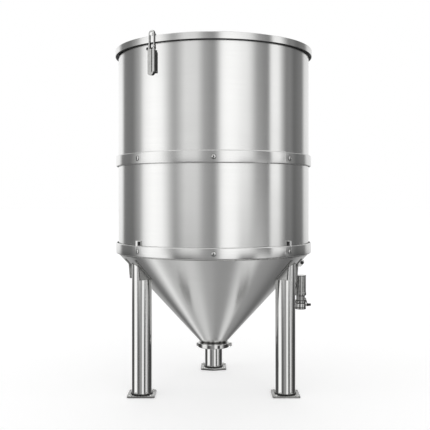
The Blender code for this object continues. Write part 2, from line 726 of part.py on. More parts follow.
def build_tank():
    """The whole tank."""
    sheet_finish = steel("brushed_sheet", 0.62, 0.30)
    hoop_finish = steel("brushed_bar", 0.60, 0.32)
    tube_finish = steel("polished_tube", 0.58, 0.18)
    fitting_finish = steel("polished_fitting", 0.60, 0.15)
    build_shell(sheet_finish)
    build_cone(sheet_finish)
    build_lid(sheet_finish)
    build_hoop("mid_hoop", MID_HOOP, MID_HOOP_FRONT_RISE, (), hoop_finish)
    build_hoop("lower_hoop", LOWER_HOOP, 0.0, LUG_AZIMUTHS, hoop_finish)
    for side, (azimuth, reach) in LEGS.items():
        build_leg(side, azimuth, reach, tube_finish)
    build_outlet(fitting_finish)
    build_probe(fitting_finish)
    build_earth_lug(fitting_finish)
    for side, azimuth in LATCH_AZIMUTHS.items():
        build_latch(side, azimuth, fitting_finish)


for old in list(bpy.data.objects):
    bpy.data.objects.remove(old, do_unlink=True)
build_tank()
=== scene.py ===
"""The looks of the neutralization tank: its finishes, fine edges, bolts, welds and the studio around it.

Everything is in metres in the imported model's own frame: +Z up, the front faces -Y, the axis is at X = Y = 0.
Azimuths are in degrees around the axis: 0 is the front and +90 is the +X side.
"""

import math

import bmesh
import bpy
from mathutils import Matrix, Vector


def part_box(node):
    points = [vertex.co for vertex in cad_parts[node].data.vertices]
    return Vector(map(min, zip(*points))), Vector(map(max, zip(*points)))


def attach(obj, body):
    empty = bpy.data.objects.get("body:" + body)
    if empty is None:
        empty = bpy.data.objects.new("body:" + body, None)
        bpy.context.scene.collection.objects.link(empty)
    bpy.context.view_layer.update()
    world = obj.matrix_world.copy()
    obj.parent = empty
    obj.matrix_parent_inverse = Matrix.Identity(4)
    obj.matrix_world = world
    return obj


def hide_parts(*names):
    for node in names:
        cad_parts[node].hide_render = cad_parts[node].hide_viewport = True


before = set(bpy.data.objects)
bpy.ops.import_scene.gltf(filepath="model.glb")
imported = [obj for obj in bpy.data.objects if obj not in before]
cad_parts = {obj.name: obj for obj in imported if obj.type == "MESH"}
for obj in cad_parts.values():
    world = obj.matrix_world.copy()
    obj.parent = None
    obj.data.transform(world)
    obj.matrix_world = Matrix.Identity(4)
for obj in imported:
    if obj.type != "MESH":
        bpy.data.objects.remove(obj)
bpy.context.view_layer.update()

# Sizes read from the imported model
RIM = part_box("lid")
RIM_RADIUS = RIM[1].x
RIM_BOTTOM = RIM[0].z
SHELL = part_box("lower_shell_front")
SHELL_RADIUS = SHELL[1].x
SHELL_BOTTOM = SHELL[0].z
SHELL_JOINT = SHELL[1].z
SHELL_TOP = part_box("upper_shell_front")[1].z
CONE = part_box("cone_front")
CONE_TOP = CONE[1].z
CONE_BOTTOM = CONE[0].z
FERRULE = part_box("outlet_ferrule")
OUTLET_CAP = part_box("outlet_cap")
CLAMP_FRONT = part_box("outlet_clamp_front")
BAIL_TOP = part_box("latch_bail_front")[1].z
LEVER_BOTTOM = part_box("latch_lever_front")[0].z
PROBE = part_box("probe_housing")
PROBE_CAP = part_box("probe_cap")
PROBE_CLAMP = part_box("probe_clamp")
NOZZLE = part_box("probe_nozzle")

# Sizes that a box can't tell
GAP = 0.0003
SHEET = 0.003
RIM_HEIGHT = 0.038
CURB_WIDTH = 0.014
SEAL_INSET = 0.006
HOOP_JOINT = 42.6
HOOP_THICKNESS = 0.006
STANDOFF_HEIGHT = 0.036
STANDOFF_SWEEP = 4.0
STANDOFF_INSET = 2.8
HOOP_BOLT_AZIMUTHS = (-90.0, -45.8, 0.0, 45.8, 90.0, 134.2, 180.0, 225.8)
LUG_AZIMUTHS = (-46.0, 46.0, -134.0, 134.0)
LUG_WIDTH = 0.026
LUG_RISE = 0.028
LUG_SLANT = 0.0028
PAD_SPAN = (0.004, 0.0140)
PAD_INSET = 0.001
PAD_RISE = 0.0015
HOOP_BOLT_RADIUS = 0.0125
HOOP_BOLT_HEIGHT = 0.0045
SOCKET_SHARE = 0.42
LEG_WALL = 0.00305
WEB_THICKNESS = 0.012
WEB_DROP = 0.030
WEB_INNER = -0.100
WEB_OUTER_BOTTOM = 0.049
WEB_OUTER_TOP = 0.058
LEG_TOP_MARGIN = 0.020
WEB_BEAD = 0.0035
ANCHOR_BOLT_RADIUS = 0.0125
ANCHOR_BOLT_HEIGHT = 0.006
REAR_FOOT_POINT = 0.024
ANCHOR_INSET = 0.018
OUTLET_RADIUS = 0.0762
FLANGE_THICKNESS = 0.0065
CLAMP_OUTER = 0.0955
CLAMP_LIP = 0.0785
LATCH_AZIMUTHS = {"front": -33.5, "rear": 146.5}
LATCH_WIDTH = 0.044
BAIL_REACH = 0.604
BAIL_BAR = 0.006
TRUNNION_HEIGHT = 1.945
LEVER_REACH = (0.600, 0.620)
LEVER_LEFT = 0.018
SLOT_START = 0.0080
HANDLE_X = 0.0160
HANDLE_RADIUS = 0.0060

# Fineness of round pieces
TURN_STEPS = 288
PIPE_STEPS = 96
SMALL_STEPS = 48

CONE_SLOPE = (SHELL_RADIUS - OUTLET_RADIUS) / (CONE_TOP - CONE_BOTTOM)


# Finishes


def new_material(name, colour, roughness, anisotropic):
    """A bare metal and its shader."""
    material = bpy.data.materials.new(name)
    material.use_nodes = True
    shader = material.node_tree.nodes["Principled BSDF"]
    shader.inputs["Base Color"].default_value = (*colour, 1.0)
    shader.inputs["Metallic"].default_value = 1.0
    shader.inputs["Roughness"].default_value = roughness
    shader.inputs["Anisotropic"].default_value = anisotropic
    return material, shader


def link(material, source, output, target, socket):
    """Join two nodes' sockets."""
    material.node_tree.links.new(source.outputs[output], target.inputs[socket])


def add_node(material, kind, **settings):
    """A shader node with some of its settings."""
    node = material.node_tree.nodes.new(kind)
    for name, value in settings.items():
        setattr(node, name, value)
    return node


def noise_on(material, scale, stretch, detail=3.0):
    """Noise in the piece's own coordinates, stretched by a factor on each axis."""
    place = add_node(material, "ShaderNodeTexCoord")
    mapping = add_node(material, "ShaderNodeMapping")
    mapping.inputs["Scale"].default_value = stretch
    texture = add_node(material, "ShaderNodeTexNoise")
    texture.inputs["Scale"].default_value = scale
    texture.inputs["Detail"].default_value = detail
    link(material, place, "Object", mapping, "Vector")
    link(material, mapping, "Vector", texture, "Vector")
    return texture


def vary(material, texture, shader, socket, low, high):
    """Drive a value on the shader between two limits by a texture."""
    spread = add_node(material, "ShaderNodeMapRange")
    spread.inputs["From Min"].default_value = 0.3
    spread.inputs["From Max"].default_value = 0.7
    spread.inputs["To Min"].default_value = low
    spread.inputs["To Max"].default_value = high
    link(material, texture, "Fac", spread, "Value")
    link(material, spread, "Result", shader, socket)


def tint(material, texture, shader, dark, light):
    """Drive the base colour between two tints by a texture."""
    ramp = add_node(material, "ShaderNodeValToRGB")
    ramp.color_ramp.elements[0].position = 0.30
    ramp.color_ramp.elements[0].color = (*dark, 1.0)
    ramp.color_ramp.elements[1].position = 0.70
    ramp.color_ramp.elements[1].color = (*light, 1.0)
    link(material, texture, "Fac", ramp, "Fac")
    link(material, ramp, "Color", shader, "Base Color")


def bump(material, texture, shader, strength, distance):
    """Raise the surface by a texture."""
    relief = add_node(material, "ShaderNodeBump")
    relief.inputs["Strength"].default_value = strength
    relief.inputs["Distance"].default_value = distance
    link(material, texture, "Fac", relief, "Height")
    link(material, relief, "Normal", shader, "Normal")


def brushed_steel(name, dark, light, roughness, grain=(3.0, 3.0, 1500.0), anisotropic=0.9):
    """Steel brushed in fine level lines, which run round a turned piece and blur it up and down."""
    material, shader = new_material(name, light, roughness, anisotropic)
    if anisotropic:
        tangent = add_node(material, "ShaderNodeTangent", direction_type="RADIAL", axis="Z")
        link(material, tangent, "Tangent", shader, "Tangent")
        shader.inputs["Anisotropic Rotation"].default_value = 0.25
    lines = noise_on(material, 1.0, grain)
    clouds = noise_on(material, 3.0, (1.0, 1.0, 1.6), 2.0)
    vary(material, clouds, shader, "Roughness", roughness * 0.94, roughness * 1.06)
    tint(material, lines, shader, dark, light)
    bump(material, lines, shader, 0.02, 0.0001)
    return material


def polished_steel(name, dark, light, roughness):
    """Smooth bright steel with a faint haze."""
    material, shader = new_material(name, light, roughness, 0.0)
    haze = noise_on(material, 60.0, (1.0, 1.0, 1.0))
    vary(material, haze, shader, "Roughness", roughness * 0.8, roughness * 1.3)
    tint(material, haze, shader, dark, light)
    return material


def shade_and_dark_steel(name):
    """Nearly black steel: painted shade in bolt sockets, gaps, the latch's shaded sides and the ring at each leg's
    foot; also the dark seams, handle, pins and lug bolt.
    """
    material, shader = new_material(name, (0.09, 0.09, 0.09), 0.3, 0.0)
    mottle = noise_on(material, 90.0, (1.0, 1.0, 0.5))
    tint(material, mottle, shader, (0.02, 0.02, 0.02), (0.08, 0.08, 0.078))
    vary(material, mottle, shader, "Roughness", 0.22, 0.4)
    return material


def weld_metal(name):
    """A dull weld bead with fine ripples."""
    material, shader = new_material(name, (0.42, 0.42, 0.41), 0.42, 0.0)
    ripple = noise_on(material, 260.0, (1.0, 1.0, 1.0), 2.0)
    tint(material, ripple, shader, (0.30, 0.30, 0.29), (0.60, 0.60, 0.58))
    vary(material, ripple, shader, "Roughness", 0.2, 0.34)
    bump(material, ripple, shader, 0.4, 0.0006)
    return material


def black_rubber_and_shade(name):
    """Dull black rubber, also used as painted shade: the dark line under the lid's rim and the pads beside the hoop
    lugs.
    """
    material, shader = new_material(name, (0.03, 0.03, 0.03), 0.6, 0.0)
    shader.inputs["Metallic"].default_value = 0.0
    specks = noise_on(material, 400.0, (1.0, 1.0, 1.0))
    tint(material, specks, shader, (0.015, 0.015, 0.015), (0.04, 0.04, 0.04))
    vary(material, specks, shader, "Roughness", 0.5, 0.7)
    return material


# Shapes


def turned(profile, steps=TURN_STEPS, start=0.0, sweep=360.0):
    """A closed outline of (radius, height) points swept around the Z axis."""
    mesh = bmesh.new()
    full_turn = sweep >= 360.0
    columns = []
    for step in range(steps if full_turn else steps + 1):
        angle = math.radians(start + sweep * step / steps)
        column = []
        for index, (radius, height) in enumerate(profile):
            if radius == 0.0 and columns:
                column.append(columns[0][index])
            else:
                place = (radius * math.sin(angle), -radius * math.cos(angle), height)
                column.append(mesh.verts.new(place))
        columns.append(column)
    if full_turn:
        columns.append(columns[0])
    for before, after in zip(columns, columns[1:]):
        for index in range(len(profile)):
            follow = (index + 1) % len(profile)
            corners = [before[index], before[follow], after[follow], after[index]]
            corners = list(dict.fromkeys(corners))
            if len(corners) > 2:
                mesh.faces.new(corners)
    if not full_turn:
        mesh.faces.new(columns[0])
        mesh.faces.new(columns[-1])
    return mesh


def rod(radius, start, end, sides=SMALL_STEPS, round_over=0.0):
    """A round bar between two points, with its ends rounded over."""
    start = Vector(start)
    along = Vector(end) - start
    length = along.length
    if round_over:
        inside = radius - round_over
        outline = [(0.0, 0.0), (inside, 0.0), (radius, round_over), (radius, length - round_over)]
        outline += [(inside, length), (0.0, length)]
    else:
        outline = [(0.0, 0.0), (radius, 0.0), (radius, length), (0.0, length)]
    mesh = turned(outline, sides)
    mesh.transform(Matrix.Translation(start) @ along.to_track_quat("Z", "Y").to_matrix().to_4x4())
    return mesh


def extruded(outline, low, high, to_world):
    """A flat outline given thickness: to_world turns (u, v, depth) into a place."""
    mesh = bmesh.new()
    near = [mesh.verts.new(to_world(u, v, low)) for u, v in outline]
    far = [mesh.verts.new(to_world(u, v, high)) for u, v in outline]
    mesh.faces.new(near)
    mesh.faces.new(far)
    for index in range(len(outline)):
        follow = (index + 1) % len(outline)
        mesh.faces.new([near[index], near[follow], far[follow], far[index]])
    return mesh


def upright_plate(outline, left, right):
    """A plate in the plane through the axis: outline of (reach, height), thick along X."""
    return extruded(outline, left, right, lambda reach, height, x: (x, -reach, height))


def facing_plate(outline, inner, outer):
    """A plate that faces out: outline of (x, height), thick from the inner to the outer reach."""
    return extruded(outline, inner, outer, lambda x, height, reach: (x, -reach, height))


def flat_plate(outline, bottom, top):
    """A plate that lies flat: outline of (x, y)."""
    return extruded(outline, bottom, top, lambda x, y, height: (x, y, height))


def block(left, right, inner, outer, bottom, top):
    """A box at the front, from its inner to its outer reach."""
    corners = [(left, bottom), (right, bottom), (right, top), (left, top)]
    return facing_plate(corners, inner, outer)


def half_circle(radius, height, steps):
    """Points over the top of a half circle, from its +X end to its -X end."""
    points = []
    for step in range(steps + 1):
        angle = math.pi * step / steps
        points.append((radius * math.cos(angle), height + radius * math.sin(angle)))
    return points


def bent_bar(centres, radius, sides=24):
    """A round bar along points in the plane that faces out."""
    mesh = bmesh.new()
    across = Vector((0.0, 1.0, 0.0))
    rings = []
    for index, centre in enumerate(centres):
        before = Vector(centres[max(index - 1, 0)])
        after = Vector(centres[min(index + 1, len(centres) - 1)])
        beside = (after - before).normalized().cross(across)
        ring = []
        for side in range(sides):
            angle = 2.0 * math.pi * side / sides
            offset = across * math.sin(angle) + beside * math.cos(angle)
            ring.append(mesh.verts.new(Vector(centre) + offset * radius))
        rings.append(ring)
    for before, after in zip(rings, rings[1:]):
        for side in range(sides):
            follow = (side + 1) % sides
            mesh.faces.new([before[side], before[follow], after[follow], after[side]])
    mesh.faces.new(rings[0])
    mesh.faces.new(rings[-1])
    return mesh


def swept(points, radius, closed=False, sides=8):
    """A round bead along a path in space."""
    mesh = bmesh.new()
    count = len(points)
    rings = []
    for index, point in enumerate(points):
        before = Vector(points[index - 1] if closed or index else point)
        after = Vector(points[(index + 1) % count] if closed or index + 1 < count else point)
        along = (after - before).normalized()
        beside = along.cross(Vector((0.0, 0.0, 1.0))).normalized()
        over = beside.cross(along)
        ring = []
        for side in range(sides):
            angle = 2.0 * math.pi * side / sides
            offset = beside * math.cos(angle) + over * math.sin(angle)
            ring.append(mesh.verts.new(Vector(point) + offset * radius))
        rings.append(ring)
    pairs = list(zip(rings, rings[1:]))
    if closed:
        pairs.append((rings[-1], rings[0]))
    else:
        mesh.faces.new(rings[0])
        mesh.faces.new(rings[-1])
    for before, after in pairs:
        for side in range(sides):
            follow = (side + 1) % sides
            mesh.faces.new([before[side], before[follow], after[follow], after[side]])
    return mesh


def joined(meshes):
    """Several shapes as one mesh."""
    whole = bmesh.new()
    for mesh in meshes:
        data = bpy.data.meshes.new("part_shape")
        bmesh.ops.recalc_face_normals(mesh, faces=mesh.faces)
        mesh.to_mesh(data)
        mesh.free()
        whole.from_mesh(data)
        bpy.data.meshes.remove(data)
    return whole


def placed(mesh, place):
    """A shape moved to its place."""
    mesh.transform(place)
    return mesh


def around(azimuth):
    """Turn something made at the front to its azimuth."""
    return Matrix.Rotation(math.radians(azimuth), 4, "Z")


def piece(name, mesh, finish, nodes=(), place=None, bevel=0.0, cutters=()):
    """Put a shape into the scene as one visible piece: cut, edges eased, riding on the tank."""
    bmesh.ops.recalc_face_normals(mesh, faces=mesh.faces)
    data = bpy.data.meshes.new(name)
    mesh.to_mesh(data)
    mesh.free()
    data.materials.append(finish)
    thing = bpy.data.objects.new(name, data)
    bpy.context.scene.collection.objects.link(thing)
    if place is not None:
        thing.matrix_world = place
    for cutter in cutters:
        cut(thing, cutter)
    thing.data.shade_smooth()
    if not bevel:
        thing.data.set_sharp_from_angle(angle=math.radians(38.0))
    if bevel:
        ease = thing.modifiers.new("ease", "BEVEL")
        ease.width = bevel
        ease.segments = 2
        ease.limit_method = "ANGLE"
        ease.angle_limit = math.radians(38.0)
        weigh = thing.modifiers.new("weigh", "WEIGHTED_NORMAL")
        weigh.weight = 80
    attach(thing, "root")
    if nodes:
        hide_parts(*nodes)
    return thing


def cut(thing, cutter_mesh):
    """Cut a shape away from a piece, and keep the result as its mesh."""
    bmesh.ops.recalc_face_normals(cutter_mesh, faces=cutter_mesh.faces)
    data = bpy.data.meshes.new("cutter")
    cutter_mesh.to_mesh(data)
    cutter = bpy.data.objects.new("cutter", data)
    bpy.context.scene.collection.objects.link(cutter)
    step = thing.modifiers.new("cut", "BOOLEAN")
    step.operation = "DIFFERENCE"
    step.solver = "EXACT"
    step.object = cutter
    bpy.context.view_layer.update()
    result = bpy.data.meshes.new_from_object(thing.evaluated_get(bpy.context.evaluated_depsgraph_get()))
    thing.modifiers.remove(step)
    old = thing.data
    thing.data = result
    bpy.data.objects.remove(cutter)
    bpy.data.meshes.remove(data)
    bpy.data.meshes.remove(old)


def cone_radius(height):
    """Outer radius of the cone bottom at a height."""
    return OUTLET_RADIUS + CONE_SLOPE * (height - CONE_BOTTOM)


def cone_height(radius):
    """Height at which the cone bottom has an outer radius."""
    return CONE_BOTTOM + (radius - OUTLET_RADIUS) / CONE_SLOPE


def vessel_clearance():
    """The cone and shell as one solid with the gap around it, for cutting what is welded on."""
    bottom = CONE_BOTTOM + 0.04
    grown = GAP * math.hypot(1.0, CONE_SLOPE)
    outline = [
        (0.0, bottom),
        (cone_radius(bottom) + grown, bottom),
        (SHELL_RADIUS + grown, CONE_TOP),
        (SHELL_RADIUS + grown, CONE_TOP + 0.1),
        (0.0, CONE_TOP + 0.1),
    ]
    return turned(outline)


def bead_round(radius, height, width, rise, steps=TURN_STEPS):
    """A weld bead round the tank, standing a little proud of a wall."""
    outline = [
        (radius - rise, height - width / 2.0),
        (radius + rise * 0.6, height - width / 3.0),
        (radius + rise, height),
        (radius + rise * 0.6, height + width / 3.0),
        (radius - rise, height + width / 2.0),
    ]
    return turned(outline, steps)


# The vessel


def build_shell(sheet, weld):
    """The two courses of the shell with their welds."""
    inner = SHELL_RADIUS - SHEET
    curb = SHELL_RADIUS + CURB_WIDTH
    lower = [(inner, SHELL_BOTTOM), (SHELL_RADIUS, SHELL_BOTTOM), (SHELL_RADIUS, SHELL_JOINT), (inner, SHELL_JOINT)]
    upper = [
        (inner, SHELL_JOINT + GAP),
        (SHELL_RADIUS, SHELL_JOINT + GAP),
        (SHELL_RADIUS, SHELL_TOP - SHEET),
        (curb, SHELL_TOP - SHEET),
        (curb, SHELL_TOP),
        (inner, SHELL_TOP),
    ]
    piece("lower_shell", turned(lower), sheet, ("lower_shell_front", "lower_shell_back"), bevel=0.0003)
    piece("upper_shell", turned(upper), sheet, ("upper_shell_front", "upper_shell_back"), bevel=0.0003)
    seams = []
    for azimuth in (-90.0, 90.0):
        for bottom, top in ((SHELL_BOTTOM, SHELL_JOINT), (SHELL_JOINT, SHELL_TOP - SHEET)):
            outline = [(-0.0025, SHELL_RADIUS - 0.001), (-0.0012, SHELL_RADIUS + 0.0004)]
            outline += [(0.0012, SHELL_RADIUS + 0.0004), (0.0025, SHELL_RADIUS - 0.001)]
            seam = extruded(outline, bottom, top, lambda x, reach, height: (x, -reach, height))
            seams.append(placed(seam, around(azimuth)))
    seams.append(bead_round(SHELL_RADIUS, SHELL_JOINT, 0.005, 0.0006))
    seams.append(bead_round(SHELL_RADIUS - 0.0004, CONE_TOP, 0.006, 0.0008))
    piece("shell_welds", joined(seams), weld)


def build_cone(sheet):
    """The cone bottom."""
    level_wall = SHEET * math.hypot(1.0, CONE_SLOPE)
    outline = [
        (SHELL_RADIUS - level_wall, CONE_TOP),
        (OUTLET_RADIUS - level_wall, CONE_BOTTOM),
        (OUTLET_RADIUS, CONE_BOTTOM),
        (SHELL_RADIUS, CONE_TOP),
    ]
    piece("cone", turned(outline), sheet, ("cone_front", "cone_back"), bevel=0.0003)


def build_lid(sheet, rubber_and_shade):
    """The lid with its turned-down skirt, its seal that also paints the dark shade line under the rim, and the keepers
    that the latches hook over.
    """
    top = RIM_BOTTOM + RIM_HEIGHT
    rise = LID_RISE
    skirt_inner = RIM_RADIUS - SHEET
    outline = [
        (0.0, top - SHEET + rise),
        (skirt_inner - 0.04, top - SHEET),
        (skirt_inner, top - SHEET),
        (skirt_inner, RIM_BOTTOM),
        (RIM_RADIUS, RIM_BOTTOM),
        (RIM_RADIUS, top - 0.004),
        (RIM_RADIUS - 0.0012, top - 0.0012),
        (RIM_RADIUS - 0.004, top),
        (skirt_inner - 0.04, top),
        (0.0, top + rise),
    ]
    piece("lid_sheet", turned(outline), sheet, ("lid",), bevel=0.0006)
    shapes = []
    bend = LATCH_WIDTH / 2.0 - BAIL_BAR
    half = bend - BAIL_BAR - GAP
    keeper_outline = [(half, top - 0.002)]
    keeper_outline.extend(half_circle(half, BAIL_TOP - BAIL_BAR - bend, 20))
    keeper_outline.append((-half, top - 0.002))
    for azimuth in LATCH_AZIMUTHS.values():
        shapes.append(placed(facing_plate(keeper_outline, 0.578, 0.612), around(azimuth)))
    piece("lid_keepers", joined(shapes), sheet, bevel=0.0006)
    # The seal under the skirt is real, and its black also paints the shade line under the rim.
    shade_ring = [
        (SHELL_RADIUS + SEAL_INSET, RIM_BOTTOM - 0.001),
        (skirt_inner - 0.002, RIM_BOTTOM - 0.003),
        (skirt_inner - GAP, RIM_BOTTOM - 0.001),
        (skirt_inner - GAP, RIM_BOTTOM + 0.008),
        (SHELL_RADIUS + SEAL_INSET, RIM_BOTTOM + 0.010),
    ]
    piece("lid_seal_and_shade", turned(shade_ring), rubber_and_shade)


def button_bolt(radius, height):
    """A round-head bolt with a six-sided socket, at the origin with its head towards -Y."""
    steps = 36
    socket = radius * SOCKET_SHARE
    rings = [(radius, -0.0004, False), (radius, height * 0.2, False)]
    for step in range(1, 6):
        angle = math.radians(70.0) * step / 5
        rings.append((radius * math.cos(angle), height * (0.2 + 0.8 * math.sin(angle)), False))
    rings += [(socket * 1.02, height, True), (socket, 0.0010, True)]
    mesh = bmesh.new()
    circles = []
    for ring_radius, ring_height, six_sided in rings:
        circle = []
        for step in range(steps):
            angle = 2.0 * math.pi * step / steps
            spoke = ring_radius
            if six_sided:
                spoke /= math.cos((angle + math.pi / 6.0) % (math.pi / 3.0) - math.pi / 6.0)
            circle.append(mesh.verts.new((spoke * math.sin(angle), -ring_height, spoke * math.cos(angle))))
        circles.append(circle)
    mesh.faces.new(circles[0])
    mesh.faces.new(circles[-1])
    for before, after in zip(circles, circles[1:]):
        for step in range(steps):
            follow = (step + 1) % steps
            mesh.faces.new([before[step], before[follow], after[follow], after[step]])
    return mesh


def socket_floor(radius):
    """The nearly black bottom of a bolt's socket: painted shade."""
    return rod(radius * SOCKET_SHARE, (0.0, -0.0002, 0.0), (0.0, -0.0016, 0.0), 24)


def bolt_recess(radius):
    """A dark ring between a bolt's head and what it clamps: painted shade in the gap."""
    ring = turned([(radius, -0.0004), (radius * 1.12, -0.0004), (radius * 1.12, 0.0004), (radius, 0.0004)], 48)
    return placed(ring, Matrix.Rotation(math.radians(90.0), 4, "X"))


def build_hoops(bar, fitting, rubber_and_shade, dark):
    """Both hoops in quarter bands, with their stand-offs, lugs, black pads painted as shade beside the lugs, and bolts.
    """
    bolts = []
    recesses = []
    shade_pads = []
    quarters = (
        ("front", 0.0, HOOP_JOINT),
        ("right", 90.0, 90.0 - HOOP_JOINT),
        ("back", 180.0, HOOP_JOINT),
        ("left", -90.0, 90.0 - HOOP_JOINT),
    )
    for hoop, lugs in (("mid_hoop", ()), ("lower_hoop", LUG_AZIMUTHS)):
        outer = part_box(hoop + "_right")[1].x
        inner = outer - HOOP_THICKNESS
        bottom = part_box(hoop + "_right")[0].z
        side_top = MID_HOOP_SIDE_TOP if hoop == "mid_hoop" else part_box(hoop + "_front")[1].z
        middle = (bottom + side_top) / 2.0
        seam = math.degrees(GAP / outer)
        half_height = STANDOFF_HEIGHT / 2.0
        standoff = [
            (SHELL_RADIUS + GAP, middle - half_height),
            (inner + 0.001, middle - half_height),
            (inner + 0.001, middle + half_height),
            (SHELL_RADIUS + GAP, middle + half_height),
        ]
        for quarter, centre, half_sweep in quarters:
            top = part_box(hoop + "_front")[1].z if quarter in ("front", "back") else side_top
            sweep = 2.0 * half_sweep - seam
            outline = eased_band(inner, outer, bottom, top)
            shapes = [turned(outline, round(TURN_STEPS * sweep / 360.0), centre - sweep / 2.0, sweep)]
            end_turn = half_sweep - STANDOFF_INSET
            for turn in (-end_turn, 0.0, end_turn):
                shapes.append(turned(standoff, 6, centre + turn - STANDOFF_SWEEP / 2.0, STANDOFF_SWEEP))
            for azimuth in lugs:
                if math.cos(math.radians(azimuth - centre)) > math.cos(math.radians(half_sweep)):
                    lug = hoop_lug(middle, top + LUG_RISE, outer, -lug_side(azimuth))
                    shapes.append(placed(lug, around(azimuth)))
            name = hoop + "_" + quarter
            piece(name + "_band", joined(shapes), bar, (name,))
        for azimuth in HOOP_BOLT_AZIMUTHS:
            place = around(azimuth) @ Matrix.Translation((0.0, -outer, middle))
            bolts.append(placed(button_bolt(HOOP_BOLT_RADIUS, HOOP_BOLT_HEIGHT), place))
            recesses.append(placed(bolt_recess(HOOP_BOLT_RADIUS), place))
            recesses.append(placed(socket_floor(HOOP_BOLT_RADIUS), place))
        # Black pads beside the lugs: painted shade in the recess there.
        for azimuth in lugs:
            near, far = sorted((lug_side(azimuth) * PAD_SPAN[0], lug_side(azimuth) * PAD_SPAN[1]))
            shade_pad = block(near, far, SHELL_RADIUS + PAD_INSET, outer + PAD_RISE, top + GAP, top + LUG_RISE - 0.003)
            shade_pads.append(placed(shade_pad, around(azimuth)))
    piece("hoop_bolts", joined(bolts), fitting)
    piece("hoop_bolt_shadows", joined(recesses), dark)
    shade_pad_piece = piece("lug_shade_pads", joined(shade_pads), rubber_and_shade, bevel=0.002)
    shade_pad_piece.visible_glossy = False


def eased_band(inner, outer, bottom, top):
    """The section of a flat band with rounded outer edges."""
    ease = outer - inner - 0.0002
    outline = [(inner, top), (inner, bottom)]
    for corner, start in ((bottom + ease, -90.0), (top - ease, 0.0)):
        for step in range(7):
            angle = math.radians(start + 90.0 * step / 6)
            outline.append((outer - ease + ease * math.cos(angle), corner + ease * math.sin(angle)))
    return outline


def lug_side(azimuth):
    """Which of a lug's sides is nearer to the front or the back, as the sign of its X."""
    return -1.0 if math.sin(math.radians(2.0 * azimuth)) > 0.0 else 1.0


def hoop_lug(bottom, top, outer, full_side):
    """An upright lug behind and above the lower hoop, with its face full on one side and less on the other."""
    half = LUG_WIDTH / 2.0
    inner = SHELL_RADIUS + GAP
    outline = [(-half, -inner), (half, -inner)]
    for side in (1.0, -1.0):
        outline.append((side * half, -outer + (LUG_SLANT if side != full_side else 0.0)))
    return flat_plate(outline, bottom, top)


# Legs and feet


def build_leg(side, tube, plate, foot, weld, fitting, dark):
    """A pipe leg, its two webs, its foot plate, the anchor bolts on it and the welds."""
    low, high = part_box("leg_" + side)
    centre = (low + high) / 2.0
    radius = (high.x - low.x) / 2.0
    reach = math.hypot(centre.x, centre.y)
    azimuth = math.degrees(math.atan2(centre.x, -centre.y))
    top = cone_height(reach + radius + LEG_TOP_MARGIN)
    inner = radius - LEG_WALL
    outline = [(inner, low.z), (radius, low.z), (radius, top), (inner, top)]
    place = Matrix.Translation((centre.x, centre.y, 0.0))
    pipe = piece("leg_pipe_" + side, turned(outline, PIPE_STEPS), tube, ("leg_" + side,), place,
                 cutters=[vessel_clearance()])
    pipe.visible_glossy = False

    web_bottom = cone_height(reach) - WEB_DROP
    web_outline = [
        (reach + WEB_INNER, web_bottom),
        (reach + WEB_OUTER_BOTTOM, web_bottom),
        (reach + WEB_OUTER_TOP, top),
        (reach + WEB_INNER, top),
    ]
    web_turn = math.degrees(math.asin((radius + GAP) / reach))
    beads = [cope_bead(centre, radius)]
    for hand, sign in (("a", -1.0), ("b", 1.0)):
        near, far = sorted((0.0, sign * WEB_THICKNESS))
        web = upright_plate(web_outline, near, far)
        node = "leg_web_" + side + "_" + hand
        turn = around(azimuth + sign * web_turn)
        thing = piece("web_plate_" + side + "_" + hand, web, plate, (node,), turn, 0.0012, [vessel_clearance()])
        thing.visible_glossy = False
        for x in (near, far):
            ends = []
            for height in (web_bottom, top):
                ends.append((x, -math.sqrt(cone_radius(height) ** 2 - x ** 2), height))
            beads.append(placed(swept(ends, WEB_BEAD), turn))
    piece("leg_welds_" + side, joined(beads), weld)

    build_foot(side, foot, fitting, centre)
    # A weld ring at the leg's foot; its nearly black colour is painted shade where the pipe meets the plate.
    ring = []
    for step in range(PIPE_STEPS * 2):
        angle = math.pi * step / PIPE_STEPS
        ripple = radius + 0.001 + 0.0006 * math.sin(step * 0.9)
        ring.append((ripple * math.cos(angle), ripple * math.sin(angle), low.z + 0.0012))
    piece("foot_weld_shade_" + side, swept(ring, 0.0050, closed=True), dark, place=place)


def cope_bead(centre, radius):
    """The weld where a leg's pipe meets the cone."""
    points = []
    for step in range(PIPE_STEPS):
        angle = 2.0 * math.pi * step / PIPE_STEPS
        x = centre.x + radius * math.cos(angle)
        y = centre.y + radius * math.sin(angle)
        points.append((x, y, cone_height(math.hypot(x, y))))
    return swept(points, WEB_BEAD, closed=True)


def build_foot(side, foot, fitting, centre):
    """A foot plate with its four anchor bolts."""
    low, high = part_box("foot_plate_" + side)
    half_width = (high.x - low.x) / 2.0
    half = high.y - centre.y
    corners = [(-half_width, half), (-half_width, -half)]
    if side == "rear":
        corners.append((0.0, -half - REAR_FOOT_POINT))
    corners.extend([(half_width, -half), (half_width, half)])
    outline = rounded(corners, 0.010)
    piece("foot_slab_" + side, flat_plate(outline, low.z, high.z), foot, ("foot_plate_" + side,),
          Matrix.Translation((centre.x, centre.y, 0.0)), 0.001)
    bolts = []
    for sign_x in (-1.0, 1.0):
        for sign_y in (-1.0, 1.0):
            x = sign_x * (half_width - ANCHOR_INSET)
            y = sign_y * (half - ANCHOR_INSET)
            upright = Matrix.Translation((x, y, high.z)) @ Matrix.Rotation(math.radians(-90.0), 4, "X")
            bolts.append(placed(button_bolt(ANCHOR_BOLT_RADIUS, ANCHOR_BOLT_HEIGHT), upright))
    piece("anchor_bolts_" + side, joined(bolts), fitting,
          place=Matrix.Translation((centre.x, centre.y, 0.0)))


